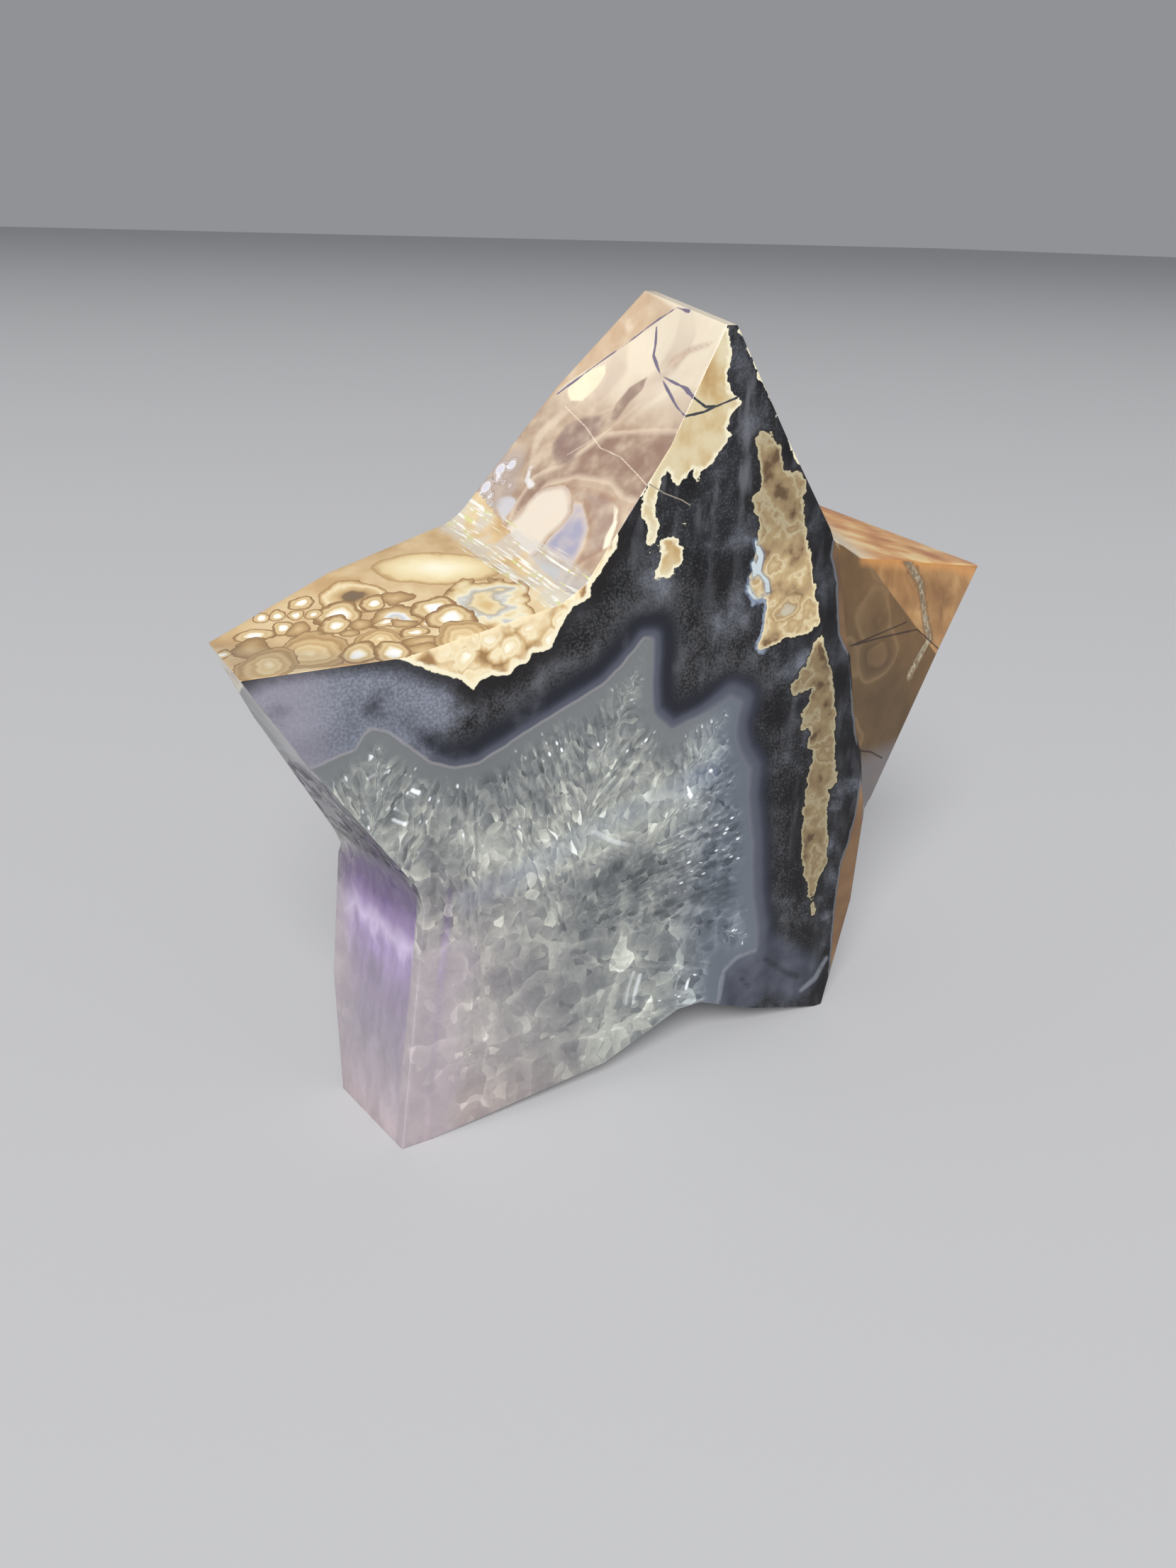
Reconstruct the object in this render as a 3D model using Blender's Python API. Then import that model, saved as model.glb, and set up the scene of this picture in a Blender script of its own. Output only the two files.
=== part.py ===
"""Volcano agate star carving: one polished stone standing on its two lower arms.

Metres, +Z up, the flat front face towards -Y. The origin is under the middle of the
bounding box, on the surface that the star stands on.
"""
import math

import bmesh
import bpy
from mathutils import Vector

MM = 0.001

# Middle of the star, which the angles and reaches below are measured from in the front view
MIDDLE = Vector((2.5, 51.0))
FRONT_Y = -20.0

# Going round the outline clockwise from the top, each arm is followed by the notch of its name
ARMS = ("top", "right", "right foot", "left foot", "left")

# Arm tips on the front face: direction from the middle, and reach in mm
TIP_ANGLE = {"top": 88.8, "right": 14.6, "right foot": 299.4, "left foot": 228.5, "left": 162.2}
TIP_REACH = {"top": 55.4, "right": 65.7, "right foot": 59.0, "left foot": 68.75, "left": 64.8}

# An arm ends in a short edge running from front to back: its length, and how much further out
# its back end lies
TIP_DEPTH = {"top": 18.7, "right": 1.5, "right foot": 24.0, "left foot": 16.0, "left": 15.5}
TIP_FLARE = {"top": 2.9, "right": 0.4, "right foot": 3.0, "left foot": 3.9, "left": -0.7}
TOP_TIP_WIDTH = 1.6

# The notch after each arm
NOTCH_ANGLE = {"top": 51.7, "right": 333.4, "right foot": 272.6, "left foot": 196.8, "left": 129.3}
NOTCH_REACH = {"top": 34.6, "right": 37.1, "right foot": 41.8, "left foot": 42.7, "left": 30.9}
NOTCH_DEPTH = {"top": 28.0, "right": 27.0, "right foot": 27.0, "left foot": 23.2, "left": 27.8}
NOTCH_FLARE = {"top": 5.4, "right": 3.0, "right foot": 0.5, "left foot": 3.3, "left": 5.9}

# Each front edge has one point beside it: how far along from tip to notch, and how far outside
# the straight line, after the tip and before the tip
BEND_AFTER_TIP = {
    "top": (0.48, 0.1),
    "right": (0.39, -3.7),
    "right foot": (0.53, 0.9),
    "left foot": (0.52, 0.0),
    "left": (0.46, -2.0),
}
BEND_BEFORE_TIP = {
    "top": (0.43, -0.9),
    "right": (0.86, -1.6),
    "right foot": (0.56, 1.4),
    "left foot": (0.67, 3.1),
    "left": (0.34, 0.4),
}

# How far outside the straight line the back edges bulge at the same places
BACK_BOW_AFTER_TIP = {"top": 0.0, "right": 0.0, "right foot": 0.0, "left foot": 1.2, "left": 1.2}
BACK_BOW_BEFORE_TIP = {"top": 1.2, "right": 0.0, "right foot": 0.5, "left foot": 0.0, "left": 0.5}

# The right arm is ground back in front in two facets, so that its tip lies furthest behind the
# front face and the bend of its lower edge less far
RIGHT_TIP_SETBACK = 12.0
RIGHT_BEND_SETBACK = 4.5

# The back has one slope for each arm, round a low blunt middle
BACK_MIDDLE_Y = 9.0

STONE_COLOUR = (0.30, 0.22, 0.15, 1.0)
STONE_ROUGHNESS = 0.12


def from_middle(angle_deg, reach):
    """A point of the front view, as (x, z)."""
    angle = math.radians(angle_deg)
    return MIDDLE + reach * Vector((math.cos(angle), math.sin(angle)))


def beside_edge(tip, notch, along, bow):
    """A point beside the straight line from tip to notch, bowed outward from the middle."""
    edge = notch - tip
    outward = Vector((-edge.y, edge.x)).normalized()
    if outward.dot((tip + notch) / 2 - MIDDLE) < 0:
        outward.negate()
    return tip + edge * along + outward * bow


def y_on_plane(point, a, b, c):
    """The y at (x, z) = point of the plane through three 3-D points."""
    normal = (b - a).cross(c - a)
    return a.y - (normal.x * (point.x - a.x) + normal.z * (point.y - a.z)) / normal.y


def star_outlines():
    """Front and back corners, clockwise from the top, with the places of the named corners."""
    front, back, place = [], [], {}

    def add(name, front_xz, front_y, back_xz, back_y):
        place[name] = len(front)
        front.append(Vector((front_xz.x, front_y, front_xz.y)))
        back.append(Vector((back_xz.x, back_y, back_xz.y)))

    tips, tips_back, notches, notches_back = {}, {}, {}, {}
    for arm in ARMS:
        tips[arm] = from_middle(TIP_ANGLE[arm], TIP_REACH[arm])
        tips_back[arm] = from_middle(TIP_ANGLE[arm], TIP_REACH[arm] + TIP_FLARE[arm])
        notches[arm] = from_middle(NOTCH_ANGLE[arm], NOTCH_REACH[arm])
        notches_back[arm] = from_middle(NOTCH_ANGLE[arm], NOTCH_REACH[arm] + NOTCH_FLARE[arm])

    half_tip = Vector((TOP_TIP_WIDTH / 2, 0))
    for index, arm in enumerate(ARMS):
        before = ARMS[index - 1]
        setback = RIGHT_TIP_SETBACK if arm == "right" else 0.0
        tip_back_y = FRONT_Y + setback + TIP_DEPTH[arm]
        notch_back_y = FRONT_Y + NOTCH_DEPTH[arm]
        before_back_y = FRONT_Y + NOTCH_DEPTH[before]

        bend_setback = RIGHT_BEND_SETBACK if arm == "right" else 0.0
        bends = {}
        for side, notch, notch_back, notch_y, bend, back_bow in (
            ("before", notches[before], notches_back[before], before_back_y,
             BEND_BEFORE_TIP[arm], BACK_BOW_BEFORE_TIP[arm]),
            ("after", notches[arm], notches_back[arm], notch_back_y,
             BEND_AFTER_TIP[arm], BACK_BOW_AFTER_TIP[arm]),
        ):
            along, bow = bend
            bends[side] = (
                beside_edge(tips[arm], notch, along, bow),
                FRONT_Y + bend_setback,
                beside_edge(tips_back[arm], notch_back, along, back_bow),
                tip_back_y + (notch_y - tip_back_y) * along,
            )

        if index:
            add((arm, "bend before"), *bends["before"])
        if arm == "top":
            add((arm, "tip"), tips[arm] + half_tip, FRONT_Y, tips_back[arm] + half_tip, tip_back_y)
        else:
            add((arm, "tip"), tips[arm], FRONT_Y + setback, tips_back[arm], tip_back_y)
        add((arm, "bend after"), *bends["after"])
        add((arm, "notch"), notches[arm], FRONT_Y, notches_back[arm], notch_back_y)
        if index == 0:
            first_bend = bends["before"]
    add(("top", "bend before"), *first_bend)
    add(("top", "tip left"), tips["top"] - half_tip, FRONT_Y, tips_back["top"] - half_tip,
        FRONT_Y + TIP_DEPTH["top"])

    # The near facet of the right arm runs from the line between its two notches to the lower edge
    upper_bend = front[place["right", "bend before"]]
    upper_bend.y = y_on_plane(
        Vector((upper_bend.x, upper_bend.z)),
        front[place["top", "notch"]],
        front[place["right", "notch"]],
        front[place["right", "bend after"]],
    )
    return front, back, place


def split_face_between(bm, first, second):
    """Cut whichever face holds both corners along the line between them."""
    face = next(f for f in first.link_faces if second in f.verts)
    bmesh.utils.face_split(face, first, second)


def build_star():
    front, back, place = star_outlines()
    bm = bmesh.new()
    front_corners = [bm.verts.new(point * MM) for point in front]
    front_face = bm.faces.new(front_corners)

    # Extrude the front outline to the back, then set its corners to the wider back outline
    made = bmesh.ops.extrude_face_region(bm, geom=[front_face], use_keep_orig=True)
    moved = [item for item in made["geom"] if isinstance(item, bmesh.types.BMVert)]
    back_corners = []
    for corner in front_corners:
        twin = next(v for v in moved if (v.co - corner.co).length < MM * 0.001)
        back_corners.append(twin)
    for corner, point in zip(back_corners, back):
        corner.co = point * MM

    # Two facets on the right arm's front, divided at the bends of its edges
    split_face_between(bm, front_corners[place["top", "notch"]], front_corners[place["right", "notch"]])
    split_face_between(
        bm,
        front_corners[place["right", "bend before"]],
        front_corners[place["right", "bend after"]],
    )

    # One slope for each arm at the back, from the line between its notches to its tip
    for index, arm in enumerate(ARMS):
        split_face_between(
            bm,
            back_corners[place[ARMS[index - 1], "notch"]],
            back_corners[place[arm, "notch"]],
        )
    notch_corners = {back_corners[place[arm, "notch"]] for arm in ARMS}
    middle_face = next(f for f in bm.faces if set(f.verts) == notch_corners)
    poked = bmesh.ops.poke(bm, faces=[middle_face])
    poked["verts"][0].co = Vector((MIDDLE.x, BACK_MIDDLE_Y, MIDDLE.y)) * MM

    # Walls between unlike outlines twist, so every face becomes flat triangles
    bmesh.ops.triangulate(bm, faces=bm.faces[:])

    # Grind the two feet flat, level with the surface they stand on
    cut = bmesh.ops.bisect_plane(
        bm,
        geom=bm.verts[:] + bm.edges[:] + bm.faces[:],
        plane_co=(0, 0, 0),
        plane_no=(0, 0, -1),
        clear_outer=True,
    )
    cut_edges = [item for item in cut["geom_cut"] if isinstance(item, bmesh.types.BMEdge)]
    bmesh.ops.edgenet_fill(bm, edges=cut_edges)
    bmesh.ops.recalc_face_normals(bm, faces=bm.faces[:])

    # Put the middle of the bounding box over the origin
    for axis in (0, 1):
        low = min(v.co[axis] for v in bm.verts)
        high = max(v.co[axis] for v in bm.verts)
        for corner in bm.verts:
            corner.co[axis] -= (low + high) / 2
    return bm


def stone_material():
    material = bpy.data.materials.new("star")
    material.use_nodes = True
    shader = material.node_tree.nodes["Principled BSDF"]
    shader.inputs["Base Color"].default_value = STONE_COLOUR
    shader.inputs["Roughness"].default_value = STONE_ROUGHNESS
    shader.inputs["Metallic"].default_value = 0.0
    return material


for old in list(bpy.data.objects):
    bpy.data.objects.remove(old, do_unlink=True)

parts = bpy.data.collections.new("volcano agate star carving")
bpy.context.scene.collection.children.link(parts)

bm = build_star()
mesh = bpy.data.meshes.new("star")
bm.to_mesh(mesh)
bm.free()
mesh.materials.append(stone_material())
star = bpy.data.objects.new("star", mesh)
parts.objects.link(star)
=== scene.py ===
"""Looks of the volcano agate star: one polished stone, with its camera, floor and light."""

import math

import bmesh
import bpy
import numpy as np
from mathutils import Matrix, Vector


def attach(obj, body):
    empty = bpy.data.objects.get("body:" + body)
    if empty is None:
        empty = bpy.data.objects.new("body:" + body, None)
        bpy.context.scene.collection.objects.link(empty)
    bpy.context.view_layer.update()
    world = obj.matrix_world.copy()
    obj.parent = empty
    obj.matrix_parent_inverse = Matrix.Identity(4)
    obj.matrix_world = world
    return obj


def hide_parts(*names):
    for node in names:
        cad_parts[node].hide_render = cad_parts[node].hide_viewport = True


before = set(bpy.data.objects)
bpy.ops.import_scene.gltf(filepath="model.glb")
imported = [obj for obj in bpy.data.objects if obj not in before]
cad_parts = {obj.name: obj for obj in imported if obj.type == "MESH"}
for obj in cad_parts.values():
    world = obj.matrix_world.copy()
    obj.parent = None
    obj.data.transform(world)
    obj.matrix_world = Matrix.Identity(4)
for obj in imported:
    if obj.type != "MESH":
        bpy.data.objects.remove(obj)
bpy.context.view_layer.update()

MM = 0.001

# The flat front face lies at this y, in mm
FRONT_Y = -14.5

# Rounding of the valleys between two arms and of the other edges, in mm
VALLEY_ROUND = 2.2
EDGE_ROUND = 0.4

# A face whose normal has less y than this is a wall. Walls that meet within the soft angle, in
# degrees, are one smooth wall, and other edges past the crisp angle are rounded
WALL_TURN = 0.6
SOFT_TURN = 25
CRISP_TURN = 5

# Longest edges of the mesh, in mm, and how often it is relaxed
WALL_MESH = 1.4
BACK_MESH = 2.0
FRONT_MESH = 0.8
UPPER_WALL_MESH = 0.65
CRACK_MESH = 0.18
SMOOTH_ROUNDS = 30

# Markings on the front face, as lines and outlines of (x, z) points in mm. A line that is named
# for a part of the stone ends it, and the points of its close go round the rest of that part
RIND_LINE = [
    (-62.8, 70.8), (-60.9, 71.6), (-58.3, 71.9), (-54.9, 71.9), (-50, 71.5), (-44.9, 70.8),
    (-42.5, 69.7), (-39.4, 68), (-36.4, 66.7), (-34.9, 65.2), (-33.9, 66.5), (-32, 66.7),
    (-30.1, 66.4), (-28.9, 67.7), (-27.7, 67.5), (-26.9, 68.9), (-24.3, 69), (-23.5, 70.9),
    (-22.3, 72.9), (-21.2, 74), (-18.8, 75), (-18.8, 76.7), (-17.7, 77.6), (-16.6, 79.3),
    (-15.4, 80.6), (-15.2, 83.4), (-14.9, 85.8), (-12.8, 86.5), (-12, 86.8), (-11.1, 88.3),
]
RIND_CLOSE = [(-6, 120), (-80, 120), (-80, 70.8)]
TOP_CREAM = [
    (-11.1, 88.3), (-12, 86.5), (-11.7, 84.3), (-11.1, 83), (-10.8, 81.7), (-10.3, 79.7),
    (-9.7, 81.3), (-9, 82.8), (-9.9, 84.8), (-9.6, 87), (-9, 88.7), (-8.1, 89.8),
    (-7.5, 88.3), (-6.8, 87.6), (-4.7, 89.6), (-4, 88), (-3.4, 88), (-3.5, 89.2),
    (-1.8, 90), (0.3, 92.1), (0.9, 93.1), (0.3, 94.6), (0.9, 96.4), (2, 97.3), (1.5, 97.9),
    (0.1, 98.9), (-0.3, 101.3), (0.1, 102.4), (-0.2, 104.5), (-0.5, 105.9), (-6, 112),
    (-20, 96),
]
CREAM_ISLE = [
    (-9.8, 76.7), (-9, 76), (-7, 76), (-6.3, 77.4), (-5.4, 77.7), (-5.3, 79.6),
    (-6.2, 80.7), (-7.8, 81.4), (-8.9, 80.9), (-8.4, 79.5), (-8.8, 78.3),
]
CREAM_FLECK = [(-6.2, 82.1), (-5.2, 82.6), (-4.8, 83.4), (-5.8, 82.9)]
RIGHT_CREAM = [
    (4.7, 92.5), (5.8, 93.7), (7.1, 93.3), (8.9, 91.7), (10, 88.7), (11, 87.9), (12.7, 88.5),
    (14.1, 86.8), (13.7, 84.8), (13.8, 82.4), (15.1, 78.9), (16.3, 75.3), (17.3, 72.3),
    (18.4, 68.2), (18.6, 66.8), (16.4, 65.5), (12.7, 65.3), (9.4, 64.1), (8.3, 64.5), (8.9, 66.5),
    (8.8, 69.8), (9.2, 71.9), (7.3, 71.2), (5.8, 73.3), (6.3, 76.3), (6.6, 78.7), (6.7, 81),
    (6.1, 83.4), (5.1, 85.1), (6.6, 86.3), (5.9, 88.3), (5.7, 90.2),
]
FEATHER = [
    (19.5, 64.9), (20.3, 62.8), (21.8, 59.7), (23, 55.8), (24, 50.5), (24.4, 45.7),
    (25.7, 40.9), (24, 39.9), (24.5, 35.7), (25.7, 27), (24.3, 25), (23.7, 21.7),
    (24.2, 18.1), (23.6, 18.3), (22.5, 22), (20.9, 26.2), (19.7, 32.1), (19.4, 37.7),
    (19.6, 43), (20.5, 46.9), (18.8, 47.2), (19.4, 50.9), (17.4, 50.8), (17.2, 52.9),
    (19.1, 57.2), (15.2, 56.2), (14.5, 57.9), (17.1, 60.8), (18.7, 64.6),
]
BROWN_LINE = [
    (19.9, 76.3), (21.3, 72.6), (22.3, 67.3), (23.1, 63.9), (25.3, 61.2), (26, 58.3),
    (27.2, 52.1), (28.3, 48.4), (30.1, 44.6), (30.7, 40.3), (30.6, 35.3), (29.7, 29.8),
    (28.6, 26.3), (28.4, 19.5), (28.5, 15.4),
]
BROWN_CLOSE = [(30, -10), (90, -10), (90, 90), (20, 90)]
QUARTZ_LINE = [
    (-54.7, 59.1), (-50.1, 60.3), (-48.3, 62.6), (-46.2, 61.8), (-40.8, 56.8), (-37.7, 55.3),
    (-34.4, 55.4), (-31.1, 56.8), (-27.3, 58.6), (-23.4, 60.2), (-16.5, 63), (-13.6, 65.3),
    (-10.6, 68.4), (-9.3, 68.4), (-9.1, 65.6), (-9.1, 61.8), (-8.7, 58), (-5.5, 55),
    (-2.8, 55.7), (0.5, 56.6), (4.1, 58), (5.9, 57), (5.3, 54.5), (5.3, 52), (6.4, 49.2),
    (8.5, 46.1), (8.4, 41.9), (10, 34.4), (11, 24.9), (12.5, 19.1), (12.9, 15.5),
    (9.7, 15.1), (7.2, 14.1), (6.1, 11.3), (5.9, 7.4),
]
QUARTZ_CLOSE = [(5.5, -20), (-90, -20), (-90, 57)]

# Lines of the lobe in the right foot
LOBE_PALE = [
    [(6.2, 7.1), (6.8, 12.8), (9.3, 14.6), (12.7, 14.8)],
    [(23.2, 4.2), (25.9, 5.6), (27.8, 8.9)],
]
LOBE_DARK = [[(15, 12.5), (19.7, 8.6), (22.1, 7.1)], [(10.5, 10.2), (11.3, 9.3), (12.1, 8.3)]]

# The cream along the top arm's right edge
EDGE_CREAM = [
    (0.9, 105.9), (2.2, 104.6), (3.2, 102.9), (3.8, 101.3), (4.8, 100), (6.1, 98.5), (7.1, 97.3),
    (8.3, 95.1), (9.1, 94.2), (10.2, 92.6), (11.3, 90.5), (12.2, 89.1), (20, 89.1), (6, 110),
]

# Soft light and dark places among the crystals: middle (x, z), half width and height, amount
QUARTZ_LIGHT = [
    (-20.5, 40.8, 7, 4, 0.19), (-7.5, 43, 5, 4, 0.18), (-13, 49, 7, 4, 0.07),
    (0.5, 51.5, 3, 6, 0.08), (-31, 43, 8, 6, 0.05), (-36, 14, 9, 12, 0.08),
    (-24.5, 34, 5, 4, 0.05), (-16.5, 28, 6, 5, -0.14), (-12, 34.5, 6, 3, -0.16),
    (-1.5, 29, 6, 8, -0.1), (4.5, 34, 4, 16, -0.11), (-32, 54, 14, 4, -0.05),
    (-22.5, 21.5, 4, 3, -0.08), (3, 21, 5, 8, -0.06),
]

# A bluish streak across the crystals, the ridge between the left foot's two faces in front, the
# right arm's upper edge, and the pale hook beside the upper island
BLUE_STREAK = [(1.3, 47.2), (-10.3, 44.2), (-19.3, 41.9), (-27.8, 38.7), (-36.1, 36.6)]
LEFT_RIDGE = [(-38.6, 38.5), (-43.2, 0)]
ARM_TOP_EDGE = [(27, 75), (33.5, 73.6), (40.3, 72.1), (50.3, 70.1), (60.4, 67.1)]
WHITE_HOOK = [
    (6.2, 79.6), (7.3, 77.4), (7.1, 75.3), (8.7, 73.9), (8.9, 72.5), (7.7, 71.1), (6.3, 72.2),
    (5.5, 73.7), (6.7, 75.2), (6.1, 76.7),
]

# Cracks: on the front and the right arm as (x, z), on the top arm's left wall as (y, z)
FRONT_CRACKS = [
    [(-5.1, 98.2), (-3.2, 97), (-1.6, 97), (1.5, 97.9)],
    [(-6.3, 96), (-3.4, 96.4), (-1.9, 96.9)],
]
FRONT_THREADS = [
    [(-11.1, 88.3), (-8.6, 86.9), (-6, 85.9), (-4.6, 85.1)],
]
ARM_CRACKS = [
    [(25.3, 62.4), (32.2, 62.3), (41.7, 61.8), (48.2, 57.4)],
    [(25.3, 62.4), (38.7, 63.5)],
    [(29.4, 45.3), (32.4, 44.3), (35.5, 42.5)],
]
ARM_VEIN = [(38.4, 73.2), (43.1, 68.4), (44.1, 63.1), (45.3, 59.7), (42.2, 56.4), (40.8, 54.6)]
TOP_CRACKS = [
    [(7.3, 96.4), (6.2, 97.7), (4.2, 100.1), (1.3, 103.4), (-0.2, 105.3), (-1.4, 106.2),
     (-3.8, 107.7), (-6.5, 107.4)],
    [(-1.6, 105.2), (-3, 103.2), (-3.6, 102), (-6.7, 99.9), (-9.1, 99.5), (-12.3, 99),
     (-14.6, 98.1)],
    [(-7.5, 99.4), (-9.9, 98.1), (-12.4, 96.8), (-14.6, 96)],
]
TOP_THREADS = [
    [(5, 95.1), (-0.4, 93.1), (-4.5, 91.1), (-8.3, 90.5), (-12.7, 88.8), (-14.6, 88)],
    [(-0.1, 89.7), (-4.4, 93.4)],
]

# Patches of the top arm's left wall, each laid over the ones before it: its colour, the depths in
# mm from which it starts and is full, its strength, and its outline of (y, z) points in mm
PATCHES = {
    "upper strip": ((196, 164, 130), -0.1, 0.6, 0.85, [
        (3.2, 109.5), (-3.8, 107.6), (-1.1, 105.5), (0.1, 104.4), (4, 100.1), (6.9, 97.5),
        (9.3, 92.6), (16, 92.6), (16, 109)]),
    "lower wave": ((146, 117, 102), -0.1, 0.5, 0.9, [
        (4, 83), (3.5, 86.5), (2.4, 87.3), (-0.1, 88.5), (-2.2, 90.8), (-3.8, 92.7), (-7.6, 93.6),
        (-15.6, 94.6), (-15.6, 86.1), (-12.3, 86.1), (-8.9, 87.5), (-3.6, 87.3), (0.3, 85.9),
        (1.6, 83.3), (3.2, 80.4)]),
    "pale arc": ((216, 196, 174), -0.2, 0.8, 0.85, [
        (3.4, 87.4), (5.2, 89), (5.2, 91.6), (3.3, 94.4), (3.3, 95.3), (5.3, 94.8), (7.3, 91.9),
        (6.6, 89.1), (5, 87.2)]),
    "mauve lens": ((142, 116, 108), -0.6, 0.2, 0.9, [
        (1.9, 89.1), (3.1, 90.7), (2.7, 92.8), (0.8, 93.8), (-1.4, 94.5), (-2.7, 94), (-2.7, 92.5),
        (-1.2, 90.1), (-1.4, 89), (0.3, 88.5)]),
    "leaf": ((146, 121, 108), -0.1, 0.3, 0.9, [
        (-3.3, 94.3), (-2.7, 95.9), (-3, 98.2), (-4.8, 99.8), (-5.4, 98.2), (-4.7, 96.4),
        (-4.6, 95.3), (-4.4, 94.2)]),
    "top streak": ((184, 154, 138), -0.1, 0.7, 0.8, [
        (-6.4, 100.8), (-7.1, 102.2), (-9.6, 103.8), (-14.5, 105), (-13.3, 103.7), (-10.2, 102.5),
        (-8.8, 100.7)]),
    "pale patch": ((244, 236, 204), -0.1, 0.3, 1, [
        (6.5, 97.9), (5.5, 99.1), (2.8, 100.5), (1.8, 99.5), (1.8, 97.7), (2.6, 95.9), (4.5, 95.6),
        (5.9, 96.5)]),
    "halo": ((166, 141, 127), -0.1, 0.4, 0.95, [
        (-3.7, 86.2), (-5.9, 86.5), (-9.9, 86.3), (-12.2, 85.5), (-13.7, 83.6), (-14.4, 81),
        (-12.7, 79.3), (-11.4, 78.2), (-11.1, 80.4), (-10.3, 82.5), (-7.3, 84.8), (-5.5, 85)]),
    "lavender": ((166, 164, 184), -0.05, 0.15, 1, [
        (-6.1, 83.7), (-5.4, 84.7), (-7, 84.7), (-9.9, 82.4), (-10.7, 80.3), (-10.8, 78.4),
        (-8.8, 78.3), (-4.8, 79), (-4.7, 80.1), (-5.7, 82)]),
    "half moon": ((228, 217, 203), -0.05, 0.1, 1, [
        (3.7, 79.9), (2.3, 82.1), (1.6, 84.8), (0.2, 85.7), (-2.5, 86.4), (-3.7, 86), (-6.1, 83.7),
        (-5.7, 82), (-4.5, 80.3), (-4.3, 78.6), (-3.1, 76.9), (0.4, 77.7)]),
    "crescent": ((250, 240, 216), -0.1, 0.3, 1, [
        (-11.6, 85.4), (-12.6, 85), (-13.7, 83.6), (-14.5, 81), (-13.8, 80.3), (-13.1, 81.6),
        (-12.8, 83.4)]),
    "flame": ((232, 214, 188), -0.1, 0.3, 0.9, [
        (-12.3, 86.1), (-11.8, 88.5), (-11.9, 88.8), (-12.8, 87.2), (-13.5, 88.4), (-13.9, 86.9),
        (-13.4, 85.7)]),
    "grey patch": ((176, 178, 184), -0.2, 0.5, 0.9, [
        (-3.8, 76.8), (-4.1, 77.7), (-9.4, 77.6), (-10.5, 75.8), (-8.2, 74.6), (-5.1, 75.4)]),
    "grey bubble": ((204, 202, 206), -0.1, 0.4, 0.95, [
        (7.5, 82.1), (7.6, 83.3), (5.9, 84), (4, 83.7), (3.8, 82.7), (4.3, 80.6), (6, 81.5)]),
    "white crescent": ((232, 228, 226), -0.1, 0.3, 0.95, [
        (4.7, 85.8), (5.3, 87.5), (4.7, 88.1), (4.1, 86.5), (2.2, 85.6), (3, 84.9)]),
    "pale spot": ((232, 214, 190), -0.4, 0.6, 0.9, [
        (3.7, 104.9), (3.7, 105.7), (2.1, 105), (2.3, 104.1)]),
}

# Bubbles above them on the same wall: middle (y, z) and radius in mm
BUBBLES = [
    (10, 86.5, 0.9), (8.4, 87.3, 0.8), (9.5, 85.4, 0.6), (10.8, 84.1, 0.9), (11.1, 82.9, 0.6),
    (9.2, 83.2, 0.6), (9.4, 81.8, 0.6), (11.1, 81.8, 0.5), (8.1, 85.1, 0.4), (6.7, 84.9, 0.4),
    (8.2, 82.3, 0.5), (9.3, 80.9, 0.5), (10.5, 80.1, 0.5),
]

# Domed scales of the left arm's upper wall, lower ones lying over the ones before them: kind,
# middle and half widths in mm, measured across the wall and towards its back
SCALE_TURN = math.radians(31)
SCALES = [
    ("eye", -21.1, -24, 5.6, 6), ("lens", -38, -22.6, 4.2, 3.5),
    ("plain", -32.6, -22.8, 2.3, 1.5), ("white", -44.1, -23.8, 1.6, 1.3),
    ("white", -39.1, -26.5, 2.9, 2.9), ("white", -35.3, -24.1, 1.4, 1.7),
    ("white", -46.5, -25.9, 1.1, 1.2), ("white", -44.3, -26.1, 1.1, 1),
    ("white", -42, -26, 1.1, 1.1), ("white", -48.5, -26.6, 1, 0.9),
    ("ring", -32.1, -27.3, 2.9, 3.2), ("white", -27.8, -25.1, 2.9, 2.3),
    ("white", -28.2, -27.9, 1.1, 0.8), ("white", -25.4, -27, 3.1, 2.4),
    ("white", -45.5, -28.7, 1.4, 1.5), ("white", -39.3, -28.3, 1.9, 1.9),
    ("plain", -36.2, -28.2, 1.6, 1.1), ("white", -33.3, -28.3, 1.4, 0.9),
    ("plain", -31.2, -28.2, 1.8, 0.8), ("white", -29.3, -29.7, 1.7, 0.9),
    ("plain", -43.4, -28.9, 1.4, 1.8), ("plain", -37.1, -29.9, 1.4, 0.8),
    ("fan", -33.3, -31.6, 3.4, 2.2), ("plain", -28.2, -31.7, 2.1, 1.2),
    ("white", -48.5, -30.2, 2.7, 1.2), ("fan", -23.9, -30.7, 3.3, 3.4),
    ("fan", -40.9, -34.8, 4.6, 5.3), ("plain", -48.2, -33.7, 2.1, 3.3),
    ("plain", -28, -33.3, 1.9, 1.1), ("white", -35.2, -34.7, 2.2, 3),
    ("white", -31.5, -34.3, 2.3, 2.6), ("fan", -44.8, -39.3, 3.2, 6.7),
    ("white", -50.8, -35.6, 0.9, 2.4),
]


def tint(red, green, blue):
    """A colour given as 0 to 255 display values, as the shader's linear values."""
    linear = [((c / 255 + 0.055) / 1.055) ** 2.4 if c > 10 else c / 3294.6 for c in (red, green, blue)]
    return (*linear, 1.0)


# The stone's mesh


def is_wall(face):
    return abs(face.normal.y) < WALL_TURN


def edges_to_round(bm):
    """The crisp edges, and the valleys between two arms. The rest lie within smooth walls."""
    crisp, valleys = [], []
    for edge in bm.edges:
        turn = math.degrees(edge.calc_face_angle_signed())
        both_walls = all(is_wall(face) for face in edge.link_faces)
        if both_walls and abs(turn) < SOFT_TURN:
            continue
        if both_walls and turn < 0:
            valleys.append(edge)
        elif abs(turn) > CRISP_TURN:
            crisp.append(edge)
    return crisp, valleys


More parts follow.
